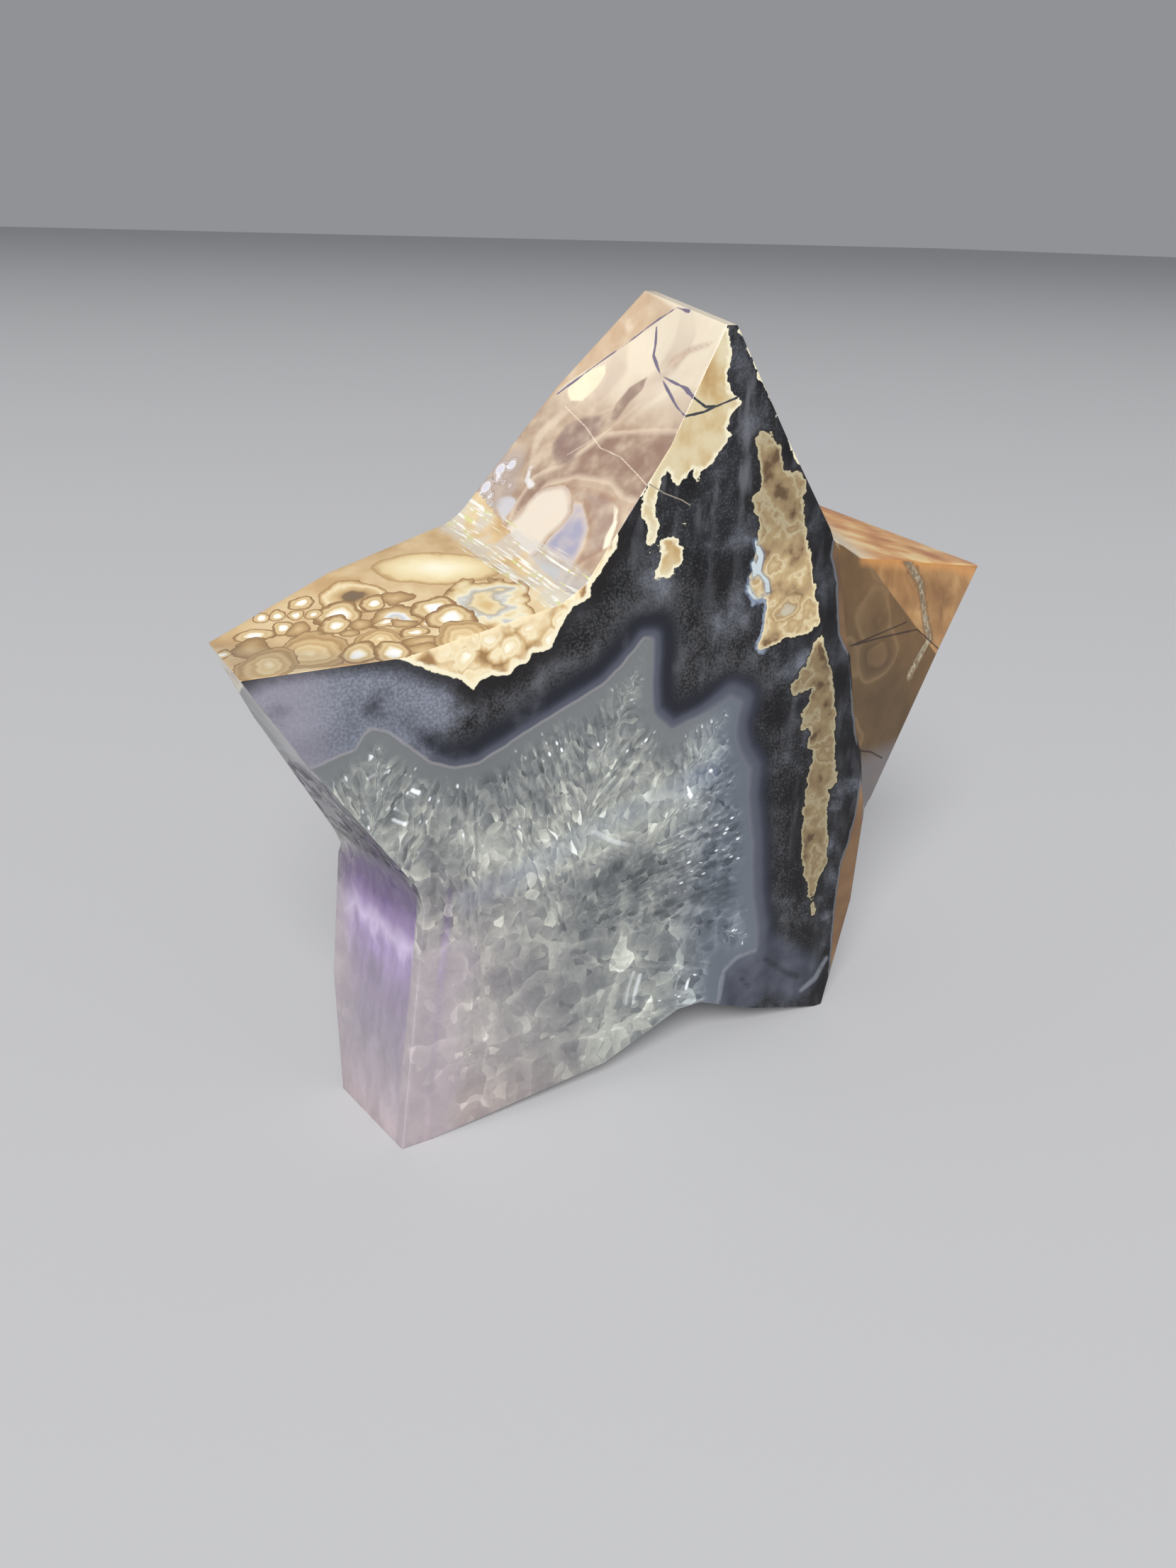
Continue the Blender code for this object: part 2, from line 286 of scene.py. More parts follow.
def runs_of(points, lines):
    """For each straight run of the lines: its start, how far along it each point's nearest spot
    lies, and how far away that spot is."""
    for line in lines:
        corners = np.array(line, float)
        for a, b in zip(corners[:-1], corners[1:]):
            run = b - a
            share = np.clip((points - a) @ run / (run @ run), 0, 1)[:, None]
            yield a, share * run, np.linalg.norm(points - a - share * run, axis=1)


def to_lines(points, lines):
    """Distance from each point to the nearest of several open lines."""
    best = np.full(len(points), 99.0)
    for _, _, gap in runs_of(points, lines):
        best = np.minimum(best, gap)
    return best


def depth_inside(points, outline):
    """Distance from each point to a closed outline, positive inside it."""
    corners = np.array(outline, float)
    following = np.roll(corners, -1, axis=0)
    gap = to_lines(points, [np.vstack([corners, corners[:1]])])
    inside = np.zeros(len(points), bool)
    for a, b in zip(corners, following):
        crosses = (a[1] > points[:, 1]) != (b[1] > points[:, 1])
        rise = b[1] - a[1] if b[1] != a[1] else 1e-9
        inside ^= crosses & (points[:, 0] < a[0] + (points[:, 1] - a[1]) * (b[0] - a[0]) / rise)
    return np.where(inside, gap, -gap)


def wanted_length(middle, turn_y):
    """How long an edge of the mesh may be, in mm: short where fine markings lie."""
    x, _, z = middle.T

    def near_cracks(points, cracks):
        return np.maximum(CRACK_MESH, to_lines(points, cracks) * 0.6)

    length = np.full(len(middle), WALL_MESH)
    length[turn_y > WALL_TURN] = BACK_MESH
    on_front = turn_y < -WALL_TURN
    length[on_front] = FRONT_MESH
    cracks = near_cracks(middle[:, [0, 2]], FRONT_CRACKS + FRONT_THREADS + ARM_CRACKS + [ARM_VEIN])
    length = np.where(on_front, np.minimum(length, cracks), length)
    upper_wall = (np.abs(turn_y) < WALL_TURN) & (x < 2) & (z > 66)
    length[upper_wall] = UPPER_WALL_MESH
    cracks = near_cracks(middle[:, [1, 2]], TOP_CRACKS + TOP_THREADS)
    return np.where(upper_wall & (z > 76), np.minimum(length, cracks), length)


def sides_of(triangles):
    """The edges of a triangle mesh, and for each triangle the places of its three edges."""
    runs = triangles[:, [[0, 1], [1, 2], [2, 0]]].reshape(-1, 2)
    edges, place = np.unique(np.sort(runs, axis=1), axis=0, return_inverse=True)
    return edges, place.reshape(-1, 3)


def split_long_edges(points, triangles):
    """One round of halving every edge that is longer than wanted. Returns None when none is."""
    edges, place = sides_of(triangles)
    a, b, c = (points[triangles[:, k]] for k in range(3))
    normal = np.cross(b - a, c - a)
    turn_y = np.zeros(len(edges))
    turn_y[place.ravel()] = np.repeat(normal[:, 1] / (np.linalg.norm(normal, axis=1) + 1e-12), 3)
    ends = points[edges]
    length = np.linalg.norm(ends[:, 0] - ends[:, 1], axis=1)
    middle = ends.mean(axis=1)
    long = length > 1.4 * wanted_length(middle, turn_y)
    if not long.any():
        return None
    new_place = np.full(len(edges), -1)
    new_place[long] = len(points) + np.arange(long.sum())
    points = np.vstack([points, middle[long]])

    cut = new_place[place]
    count = (cut >= 0).sum(axis=1)
    made = [triangles[count == 0]]
    for number in (1, 2, 3):
        some = triangles[count == number]
        marks = cut[count == number]
        # Turn each triangle so that its first edge is cut and, of two, its first and second are
        if number == 1:
            first = (marks >= 0).argmax(axis=1)
        elif number == 2:
            first = ((marks < 0).argmax(axis=1) + 1) % 3
        else:
            first = np.zeros(len(some), int)
        order = (first[:, None] + np.arange(3)) % 3
        a, b, c = np.take_along_axis(some, order, axis=1).T
        ab, bc, ca = np.take_along_axis(marks, order, axis=1).T
        if number == 1:
            made += [np.stack([a, ab, c], 1), np.stack([ab, b, c], 1)]
        elif number == 2:
            made.append(np.stack([ab, b, bc], 1))
            near_a = np.linalg.norm(points[a] - points[bc], axis=1)
            near_c = np.linalg.norm(points[c] - points[ab], axis=1)
            short = (near_a < near_c)[:, None]
            made.append(np.where(short, np.stack([a, ab, bc], 1), np.stack([a, ab, c], 1)))
            made.append(np.where(short, np.stack([a, bc, c], 1), np.stack([ab, bc, c], 1)))
        else:
            made += [np.stack(t, 1) for t in ((a, ab, ca), (ab, b, bc), (ca, bc, c), (ab, bc, ca))]
    return points, np.vstack(made)


def smooth_walls(points, triangles, crisp_lines):
    """Relax the mesh between its crisp edges, so that twisted walls and valleys turn smoothly."""
    edges, _ = sides_of(triangles)
    free = (to_lines(points, crisp_lines) > EDGE_ROUND * 1.6)[:, None]
    count = np.bincount(edges.ravel(), minlength=len(points))[:, None]
    for _ in range(SMOOTH_ROUNDS):
        total = np.zeros_like(points)
        for axis in range(3):
            total[:, axis] = np.bincount(edges[:, 0], points[edges[:, 1], axis], len(points))
            total[:, axis] += np.bincount(edges[:, 1], points[edges[:, 0], axis], len(points))
        points = np.where(free, 0.5 * points + 0.5 * total / count, points)
    return points


def stone_mesh(node):
    """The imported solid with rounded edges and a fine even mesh, in metres."""
    bm = bmesh.new()
    bm.from_mesh(node.data)
    bmesh.ops.scale(bm, vec=(1 / MM,) * 3, verts=bm.verts)
    bmesh.ops.remove_doubles(bm, verts=bm.verts[:], dist=0.01)
    bmesh.ops.dissolve_limit(bm, angle_limit=math.radians(0.5), verts=bm.verts[:], edges=bm.edges[:])
    bmesh.ops.recalc_face_normals(bm, faces=bm.faces[:])

    _, valleys = edges_to_round(bm)
    bmesh.ops.bevel(bm, geom=valleys, offset=VALLEY_ROUND, segments=5, profile=0.5,
                    affect="EDGES", clamp_overlap=True)
    bm.normal_update()
    crisp, _ = edges_to_round(bm)
    crisp_lines = [[tuple(vert.co) for vert in edge.verts] for edge in crisp]
    bmesh.ops.bevel(bm, geom=crisp, offset=EDGE_ROUND, segments=3, profile=0.5,
                    affect="EDGES", clamp_overlap=True)
    bmesh.ops.remove_doubles(bm, verts=bm.verts[:], dist=0.02)
    bmesh.ops.triangulate(bm, faces=bm.faces[:])
    points = np.array([vert.co for vert in bm.verts])
    triangles = np.array([[vert.index for vert in face.verts] for face in bm.faces])
    bm.free()

    finer = points, triangles
    while finer:
        points, triangles = finer
        finer = split_long_edges(points, triangles)
    points = smooth_walls(points, triangles, crisp_lines)
    mesh = bpy.data.meshes.new("stone")
    mesh.from_pydata((points * MM).tolist(), [], triangles.tolist())
    mesh.shade_smooth()
    return mesh


# Fields of the markings


def soft_step(value, low, high):
    """From 0 at low to 1 at high, with soft ends."""
    share = np.clip((value - low) / (high - low), 0, 1)
    return share * share * (3 - 2 * share)


def read_values(items, name, width, kind=float):
    """One property of all of a mesh's points or faces, as rows of that many values."""
    values = np.zeros(len(items) * width, kind)
    items.foreach_get(name, values)
    return values.reshape(-1, width)


def soft_spots(points, spots):
    """Soft round amounts added up: each spot has a middle, two half widths and an amount."""
    total = np.zeros(len(points))
    for across, up, wide, tall, amount in spots:
        far = ((points[:, 0] - across) / wide) ** 2 + ((points[:, 1] - up) / tall) ** 2
        total += amount * np.exp(-far)
    return total


def add_markings(mesh):
    """Every marking becomes a distance in mm on the points of the mesh, positive inside it."""
    place = read_values(mesh.vertices, "co", 3) / MM
    x, y, z = place.T
    front = place[:, [0, 2]]
    side = place[:, [1, 2]]
    behind = y - FRONT_Y  # how far each point lies behind the front face

    creams = [depth_inside(front, shape) for shape in (TOP_CREAM, CREAM_ISLE, CREAM_FLECK)]
    edge_cream = depth_inside(front, EDGE_CREAM) + 0.3 * behind
    browns = [depth_inside(front, shape) for shape in (RIGHT_CREAM, FEATHER)]
    bubbles = [1.25 * radius - np.hypot(y - cy, z - cz) for cy, cz, radius in BUBBLES]
    _, towards_back, slope_up = read_values(mesh.vertices, "normal", 3).T
    at_back = soft_step(towards_back, 0.5, 0.8)
    fields = {
        "quartz": depth_inside(front, QUARTZ_LINE + QUARTZ_CLOSE) - 0.25 * behind,
        "rind": depth_inside(front, RIND_LINE + RIND_CLOSE) + 0.5 * behind,
        "pale cream": np.maximum(np.max(creams, axis=0) - 0.05 * behind, edge_cream),
        "brown cream": np.max(browns, axis=0) - 0.4 * behind,
        "brown": depth_inside(front, BROWN_LINE + BROWN_CLOSE) + 0.6 * behind,
        "front crack": to_lines(front, FRONT_CRACKS) + 2 * behind,
        "front thread": to_lines(front, FRONT_THREADS) + 2 * behind,
        "lobe pale": to_lines(front, LOBE_PALE),
        "lobe dark": to_lines(front, LOBE_DARK),
        "arm crack": to_lines(front, ARM_CRACKS),
        "arm vein": to_lines(front, [ARM_VEIN]) + 20 * soft_step(slope_up, 0.45, 0.6),
        "top crack": to_lines(side, TOP_CRACKS),
        "top thread": to_lines(side, TOP_THREADS),
        "bubbles": np.max(bubbles, axis=0),
        "saw band": 3.6 - np.hypot(x + 20.8 + 0.133 * behind, z - 74.9 - 0.163 * behind),
        # Where the front face carries a pale veil towards the left arm's tip, partly the stone's own
        # and partly a painted reflection
        "haze_and_sheen": soft_step(-x, 29, 47) * soft_step(z, 50, 60) * soft_step(-behind, -1.5, -0.3),
        "quartz light": soft_spots(front, QUARTZ_LIGHT),
        "blue streak": to_lines(front, [BLUE_STREAK]),
        "left ridge": to_lines(front, [LEFT_RIDGE]) - 6 * soft_step(behind, 0, 3) + 12 * at_back,
        "white hook": to_lines(front, [WHITE_HOOK]) + behind,
        "arm top edge": to_lines(front, [ARM_TOP_EDGE]),
        # The lower left, where the crystals turn lilac: partly the stone's tint, partly painted
        # reflection of coloured surroundings
        "lilac": soft_step(-x - 0.25 * (z - 20), 12, 44) * soft_step(-z, -52, -24),
        "right top": soft_step(behind, 0.5, 1.5) * soft_step(slope_up, 0.45, 0.6),
        # The underside of the left arm, which is painted dark as shade
        "under arm": (soft_step(-x, 37, 41) * soft_step(behind, 0.1, 0.8) * soft_step(z, 38, 41)
                      * (1 - at_back)),
    }
    for name, (*_, outline) in PATCHES.items():
        fields[name] = depth_inside(side, outline)
    for name, values in fields.items():
        attribute = mesh.attributes.new(name, "FLOAT", "POINT")
        attribute.data.foreach_set("value", values.astype(np.float32))

    # The nearest spot of the quartz's rim, with the distance to it between its x and z
    spot, best = np.zeros_like(front), np.full(len(front), 99.0)
    for start, along, gap in runs_of(front, [QUARTZ_LINE]):
        nearer = gap < best
        spot[nearer], best[nearer] = (start + along)[nearer], gap[nearer]
    from_rim = np.stack([spot[:, 0], best, spot[:, 1]], 1).ravel().astype(np.float32)
    mesh.attributes.new("from rim", "FLOAT_VECTOR", "POINT").data.foreach_set("vector", from_rim)
    return fields


# Materials


# The colours below hold painted light: the upper walls are painted lighter and the front face darker,
# as under a strong light from above and behind
class Finish:
    """Builds one material's nodes. A value is a number, a colour of three display values from
    0 to 255, or another node's output."""

    def __init__(self, name):
        self.material = bpy.data.materials.new(name)
        self.material.use_nodes = True
        self.tree = self.material.node_tree
        self.shader = self.tree.nodes["Principled BSDF"]
        coordinates = self.node("TexCoord").outputs["Object"]
        self.place = self.vector("MULTIPLY", coordinates, (1 / MM,) * 3)

    def node(self, kind, inputs=None, **settings):
        made = self.tree.nodes.new("ShaderNode" + kind)
        for name, value in settings.items():
            setattr(made, name, value)
        for name, value in (inputs or {}).items():
            self.put(made.inputs[name], value)
        return made

    def put(self, socket, value):
        if isinstance(value, bpy.types.NodeSocket):
            self.tree.links.new(value, socket)
        else:
            socket.default_value = tint(*value) if socket.type == "RGBA" else value

    def set(self, **values):
        """Values of the surface, by their names with a low line for each space."""
        for name, value in values.items():
            self.put(self.shader.inputs[name.replace("_", " ")], value)

    def math(self, operation, a, b=0.0, c=0.0, clamp=False):
        made = self.node("Math", operation=operation, use_clamp=clamp)
        for socket, value in zip(made.inputs, (a, b, c)):
            self.put(socket, value)
        return made.outputs[0]

    def times(self, a, b, clamp=False):
        return self.math("MULTIPLY", a, b, clamp=clamp)

    def times_plus(self, a, b, c, clamp=False):
        return self.math("MULTIPLY_ADD", a, b, c, clamp)

    def plus(self, a, b):
        return self.math("ADD", a, b)

    def centred(self, value):
        return self.math("SUBTRACT", value, 0.5)

    def vector(self, operation, a, b=(0, 0, 0), c=(0, 0, 0)):
        made = self.node("VectorMath", operation=operation)
        for socket, value in zip(made.inputs, (a, b, c)):
            self.put(socket, value)
        return made.outputs["Value" if operation in ("LENGTH", "DOT_PRODUCT") else "Vector"]

    def dot(self, a, b):
        return self.vector("DOT_PRODUCT", a, b)

    def mix(self, share, a, b, strength=None, way="MIX"):
        share = share if strength is None else self.times(share, strength)
        return self.node("Mix", {"Factor": share, "A": a, "B": b},
                         data_type="RGBA", blend_type=way).outputs["Result"]

    def shade(self, colour, by):
        return self.mix(1.0, colour, by, way="MULTIPLY")

    def lay(self, colour, shade, value, low, high, strength=None):
        """Lay a shade over a colour as the value goes from low to high."""
        return self.mix(self.step(value, low, high), colour, shade, strength)

    def along(self, axis, place=None):
        return self.node("SeparateXYZ", {"Vector": place or self.place}).outputs[axis]

    def step(self, value, low, high):
        """From 0 at low to 1 at high, with soft ends."""
        return self.node("MapRange", {"Value": value, "From Min": low, "From Max": high},
                         interpolation_type="SMOOTHSTEP").outputs["Result"]

    def ramp(self, value, stops):
        made = self.node("ValToRGB", {"Fac": value})
        elements = made.color_ramp.elements
        while len(elements) < len(stops):
            elements.new(1.0)
        for element, (spot, *colour) in zip(elements, stops):
            element.position = spot
            element.color = tint(*colour)
        return made.outputs["Color"]

    def noise(self, scale, detail=2.0, place=None, rough=0.5, out="Fac", warp=0.0):
        return self.node("TexNoise", {
            "Vector": place or self.place, "Scale": scale, "Detail": detail,
            "Roughness": rough, "Distortion": warp}).outputs[out]

    def bent(self, scale, detail, amount):
        """The place, pushed about by noise."""
        push = self.noise(scale, detail, out="Color")
        return self.vector("MULTIPLY_ADD", push, (amount,) * 3, self.place)

    def cells(self, scale, place):
        """Distance to the nearest of many scattered points."""
        return self.node("TexVoronoi", {"Vector": place, "Scale": scale}).outputs["Distance"]

    def field(self, name):
        return self.node("Attribute", attribute_name=name).outputs["Fac"]

    def rough_edge(self, name, size, scale, detail=3.0):
        """A marking's field, made uneven by noise of that size in mm."""
        wobble = self.centred(self.noise(scale, detail))
        return self.times_plus(wobble, 2 * size, self.field(name))

    def polish(self, colour, roughness, shine=0.5):
        """A polished stone's surface of that colour."""
        self.set(Base_Color=colour, Roughness=roughness, IOR=1.54, Specular_IOR_Level=shine)
        return self.material


def tan_rock(made):
    """Soft brown, tan and cream rock with large rings, for the back and the walls."""
    warp = made.bent(0.09, 2, 9)
    rings = made.cells(0.16, warp)
    soft = made.noise(0.1, 3, place=warp)
    base = made.ramp(soft, [
        (0.3, 132, 98, 66), (0.45, 178, 144, 104), (0.58, 204, 176, 134), (0.75, 226, 206, 168)])
    ring = made.ramp(rings, [
        (0, 236, 226, 200), (0.16, 218, 198, 156), (0.28, 184, 150, 104), (0.42, 206, 180, 134),
        (0.5, 190, 158, 110), (0.72, 150, 114, 74), (0.9, 122, 88, 56)])
    share = made.step(made.noise(0.07, 1), 0.42, 0.6)
    return made.mix(share, base, ring, 0.75)


def rind_colour(made, rind):
    """Golden rind along the front's upper left edge: pale blobs, brown seams and rusty spots."""
    warp = made.bent(0.4, 2, 2.4)
    blobs = made.ramp(made.cells(0.4, warp), [
        (0, 250, 249, 242), (0.22, 248, 240, 214), (0.36, 234, 214, 170), (0.48, 242, 228, 192),
        (0.62, 212, 182, 134), (0.8, 158, 122, 80)])
    soft = made.noise(0.3, 2, place=warp)
    plain = made.ramp(soft, [(0.3, 192, 160, 114), (0.45, 224, 198, 154), (0.62, 240, 222, 184)])
    colour = made.lay(plain, blobs, made.noise(0.16, 1), 0.36, 0.48)
    colour = made.lay(colour, (110, 72, 44), soft, 0.35, 0.27, 0.7)
    return made.lay(colour, (242, 233, 202), rind, 0.85, 0.4)


def dark_colour(made, quartz):
    """Black chalcedony: grey grains and smoke, bands along the quartz, and towards the left arm's tip a
    pale blue-grey veil on the front face, partly the stone's own and partly a painted reflection.
    """
    across, height = made.along("X"), made.along("Z")
    right = made.step(across, 5, 15)
    grains = made.noise(2.7, 2, rough=0.6)
    cloud = made.noise(0.14, 3)
    near = made.times(made.step(quartz, -15, -4.5), 0.16)
    density = made.times_plus(cloud, 0.9, made.times_plus(right, -0.1, near))
    shown = made.step(made.times_plus(density, 0.9, grains), 0.86, 1.22)
    flat = made.vector("MULTIPLY", made.place, (0.42, 0.42, 0.13))
    smoke = made.step(made.noise(1, 3, place=flat), 0.48, 0.74)
    smoke = made.times(smoke, made.times_plus(made.step(height, 74, 92), 0.6, 0.3))
    dark = made.ramp(cloud, [(0.36, 9, 9, 12), (0.5, 27, 28, 32), (0.68, 64, 66, 74)])
    deep = made.times(right, made.step(height, 62, 40))
    dark = made.mix(deep, dark, (10, 10, 13), 0.75)
    dark = made.mix(smoke, dark, (100, 101, 107))
    dark = made.mix(shown, dark, (104, 104, 106), 0.42)

    # A pale blue-grey veil on the left arm's front face, lighter towards the tip: partly the stone's
    # own and partly a painted reflection, kept off the walls
    wisp = made.times(made.centred(cloud), 2.6)
    haze_and_sheen = made.step(made.plus(wisp, made.field("haze_and_sheen")), 0.1, 0.95)
    hazy = made.lay((108, 112, 124), (136, 140, 153), grains, 0.36, 0.66)
    hazy = made.lay(hazy, (148, 144, 156), across, -50, -57, 0.7)
    dark = made.mix(haze_and_sheen, dark, hazy)

    stretch = made.times_plus(made.step(across, -3, 4), 0.05, -0.12)
    band = made.ramp(made.times(quartz, stretch), [
        (0, 106, 109, 118), (0.025, 96, 99, 109), (0.06, 82, 86, 98), (0.12, 74, 78, 90),
        (0.18, 48, 51, 63), (0.25, 30, 32, 42), (0.36, 28, 30, 39), (0.6, 40, 42, 50)])
    kept = made.times_plus(haze_and_sheen, -0.8, 1)
    dark = made.lay(dark, band, quartz, -5.4, -2.6, kept)
    lobe = made.times(made.step(made.field("lobe dark"), 6, 2.5), made.step(quartz, -0.3, -0.8))
    slate = made.lay((58, 62, 74), (92, 96, 108), cloud, 0.3, 0.7)
    dark = made.mix(lobe, dark, slate, 0.8)
    pale = made.times_plus(cloud, 0.8, made.field("lobe pale"))
    dark = made.lay(dark, (138, 142, 150), pale, 1.2, 0.5, 0.6)
    thin = made.times(made.step(quartz, -0.5, -0.2), made.step(across, -8, -12))
    dark = made.mix(thin, dark, (150, 147, 147), 0.6)
    deep = made.times_plus(cloud, 0.8, made.field("lobe dark"))
    return made.lay(dark, (28, 28, 36), deep, 1.3, 0.3, 0.7)


def quartz_colour(made, quartz):
    """Grey crystals: smooth at the rim, fine and streaky further in, large and milky lower down."""
    drift = made.bent(0.28, 1, 3)
    across, height = made.along("X"), made.along("Z", drift)
    low = made.step(height, 40, 20)
    rim_place = made.node("Attribute", attribute_name="from rim").outputs["Vector"]
    long_place = made.vector("MULTIPLY_ADD", rim_place, (1, 0.3, 1),
                             made.vector("MULTIPLY", drift, (0.8, 0.8, 0.5)))
    tones, leans = [], []
    # For fine crystals along the rim and large ones lower down: their place, size, a painted shade
    # gradient across each crystal as though its facet caught the light from its own side, each
    # crystal's own tone, and how much lighter it grows towards its edges
    for place, scale, slope, cell, edge in (
        (long_place, 0.8, 0.36, 0.16, 0.1),
        (drift, 0.19, 0.08, 0.12, 0.36),
    ):
        crystal = made.node("TexVoronoi", {"Vector": place, "Scale": scale})
        lean = made.vector("SUBTRACT", crystal.outputs["Color"], (0.5, 0.5, 0.5))
        local = made.vector("SUBTRACT", place, crystal.outputs["Position"])
        tone = made.times(made.dot(local, lean), slope)
        tone = made.plus(tone, made.dot(lean, (cell, 0, 0)))
        far = made.math("POWER", crystal.outputs["Distance"], 2)
        tones.append(made.times_plus(far, edge, tone))
        leans.append(lean)
    fine, large = tones
    tone = made.times(fine, made.times_plus(low, -0.72, 1))
    tone = made.times_plus(large, made.times_plus(low, 0.6, 0.3), tone)

    # Painted glints on facets higher up, stronger in the lighter places, and dark pockets lower down
    glint = made.step(made.dot(leans[0], (0, 1, 0)), 0.36, 0.48)
    light = made.field("quartz light")
    tone = made.times_plus(glint, made.times_plus(light, 1.4, 0.16, clamp=True), tone)
    pocket = made.step(made.dot(leans[0], (0, 0, 1)), 0.28, 0.42)
    tone = made.times_plus(pocket, made.times_plus(light, 0.8, -0.12), tone)
    pit = made.step(made.cells(0.34, drift), 0.55, 0.15)
    pit = made.times(pit, made.step(light, 0, -0.1))
    tone = made.times_plus(pit, -0.17, tone)
    cloud = made.centred(made.noise(0.13, 3, place=drift))
    tone = made.times_plus(cloud, 0.5, tone)
    grain = made.centred(made.noise(1.1, 2, place=drift, rough=0.6))
    tone = made.times_plus(grain, made.times_plus(low, -0.2, 0.4), tone)
    streak = made.noise(1.2, 2, place=made.vector("MULTIPLY", rim_place, (1, 0.13, 1)))
    streak = made.times(made.centred(streak), made.step(quartz, 30, 3))
    tone = made.times_plus(streak, 0.6, tone)
    tone = made.times(tone, made.step(made.times_plus(cloud, 6, quartz), 0.6, 4.6))

    depth = made.times(quartz, 0.1, clamp=True)
    tone = made.plus(tone, made.times_plus(depth, 0.14, 0.31))
    tone = made.plus(tone, light)
    grey = made.ramp(tone, [
        (0, 78, 82, 83), (0.2, 102, 106, 107), (0.35, 122, 125, 126), (0.52, 150, 153, 149),
        (0.68, 176, 179, 171), (0.85, 208, 211, 200), (1, 238, 240, 232)])
    grey = made.lay(grey, (146, 156, 174), made.field("blue streak"), 3, 0.6, 0.24)
    grey = made.lay(grey, made.shade(grey, (228, 236, 253)), across, -8, 6)
    # Towards the lower left the crystals turn warm lilac, partly the stone's tint and partly painted
    # reflection of coloured surroundings, and pinkish beige near the bottom
    lilac = made.field("lilac")
    warm = made.shade(grey, (255, 243, 248))
    warm = made.mix(0.22, warm, (192, 179, 183))
    warm = made.lay(warm, (170, 152, 148), height, 16, 3, 0.45)
    grey = made.mix(lilac, grey, warm)

    # Tiny white painted glints scattered through the crystals in a band inside the rim
    painted_sparkle = made.cells(1, made.vector("MULTIPLY", rim_place, (1, 0.5, 1)))
    painted_sparkle = made.times(made.step(painted_sparkle, 0.24, 0.1), made.step(cloud, -0.04, 0.06))
    where = made.times(made.step(quartz, 0.8, 2.4), made.step(quartz, 24, 7))
    grey = made.mix(painted_sparkle, grey, (244, 247, 250), where)

    # The left foot's wall and the petals that it spreads over the ridge. The wall's lilac and violet
    # are partly the stone's tint and partly painted reflection of coloured surroundings; a bright lilac
    # band across it is a painted highlight, and it turns dark purple towards the arm above
    ridge = made.times_plus(cloud, 9, made.field("left ridge"))
    petal = made.times(made.step(ridge, 7, 2.5), made.step(height, 35, 30))
    grey = made.mix(petal, grey, (178, 167, 174), 0.6)
    left = made.step(made.field("left ridge"), 1, -0.5)
    strokes = made.noise(1, 2, place=made.vector("MULTIPLY", drift, (0.5, 0.5, 0.11)))
    heights = made.times_plus(made.centred(strokes), 4.5, height)
    side = made.ramp(made.times(heights, 1 / 60), [
        (0, 190, 170, 170), (0.08, 190, 176, 182), (0.22, 164, 155, 166), (0.4, 152, 140, 164),
        (0.48, 172, 152, 194), (0.52, 208, 192, 224), (0.56, 158, 134, 180), (0.61, 104, 84, 128),
        (0.76, 82, 70, 102)])
    side = made.shade(side, made.times_plus(strokes, 0.7, 0.6))
    grey = made.mix(left, grey, side, 0.85)
    # The underside of the left arm is painted dark slate as shade, with lighter violet streaks as
    # painted reflections
    shade_under_arm = made.lay((62, 60, 70), (96, 90, 110), strokes, 0.42, 0.8)
    grey = made.mix(made.field("under arm"), grey, shade_under_arm, 0.9)
    calm = made.math("MAXIMUM", left, low)
    return grey, leans[0], made.times_plus(calm, -0.8, 1)


def inclusions(made, colour):
    """Cream islands in the black, the outer ones full of brown blotches."""
    cream = made.rough_edge("pale cream", 0.9, 0.8, 4)
    spots = made.noise(0.2, 3)
    inner = made.ramp(spots, [
        (0.3, 222, 212, 182), (0.48, 214, 198, 160), (0.62, 198, 170, 122), (0.76, 176, 140, 90)])
    inner = made.lay(inner, (238, 230, 200), cream, 0.7, 0.15)
    colour = made.lay(colour, inner, cream, -0.07, 0.05)

    brown = made.rough_edge("brown cream", 0.9, 0.8, 4)
    blots = made.noise(0.3, 3)
    inner = made.ramp(blots, [
        (0.32, 122, 96, 68), (0.4, 174, 148, 110), (0.5, 194, 169, 125), (0.56, 216, 200, 162),
        (0.62, 180, 152, 110), (0.72, 204, 182, 140)])
    height = made.along("Z")
    inner = made.lay(inner, (226, 212, 172), brown, 0.6, 0.1)
    inner = made.lay(inner, made.shade(inner, (184, 184, 184)), height, 66, 61)
    inner = made.lay(inner, made.shade(inner, (205, 205, 205)), height, 74, 82)
    colour = made.lay(colour, (34, 29, 28), brown, -0.6, -0.2, 0.7)
    lit = made.times(made.step(made.along("X"), 10.5, 8.5), made.step(height, 76, 73))
    lit = made.times(lit, made.step(brown, -0.75, -0.3))
    colour = made.mix(lit, colour, (152, 164, 184), 0.8)
    eye = made.vector("LENGTH", made.vector("MULTIPLY_ADD", made.place, (1 / 2.8, 0, 1 / 1.8),
                                            (-12.6 / 2.8, 0, -69.2 / 1.8)))
    eye = made.times_plus(made.centred(blots), 2.4, eye)
    ring = made.ramp(eye, [
        (0, 196, 190, 176), (0.4, 186, 176, 154), (0.52, 156, 126, 88), (0.7, 208, 188, 146),
        (0.88, 166, 136, 96), (1, 188, 160, 114)])
    inner = made.lay(inner, ring, eye, 1.02, 0.9, 0.8)
    colour = made.lay(colour, inner, brown, -0.07, 0.05)
    hook = made.times_plus(made.centred(blots), 1.4, made.field("white hook"))
    colour = made.lay(colour, (112, 126, 148), hook, 0.8, 0.25, 0.6)
    return made.lay(colour, (196, 207, 210), hook, 0.32, 0.16)


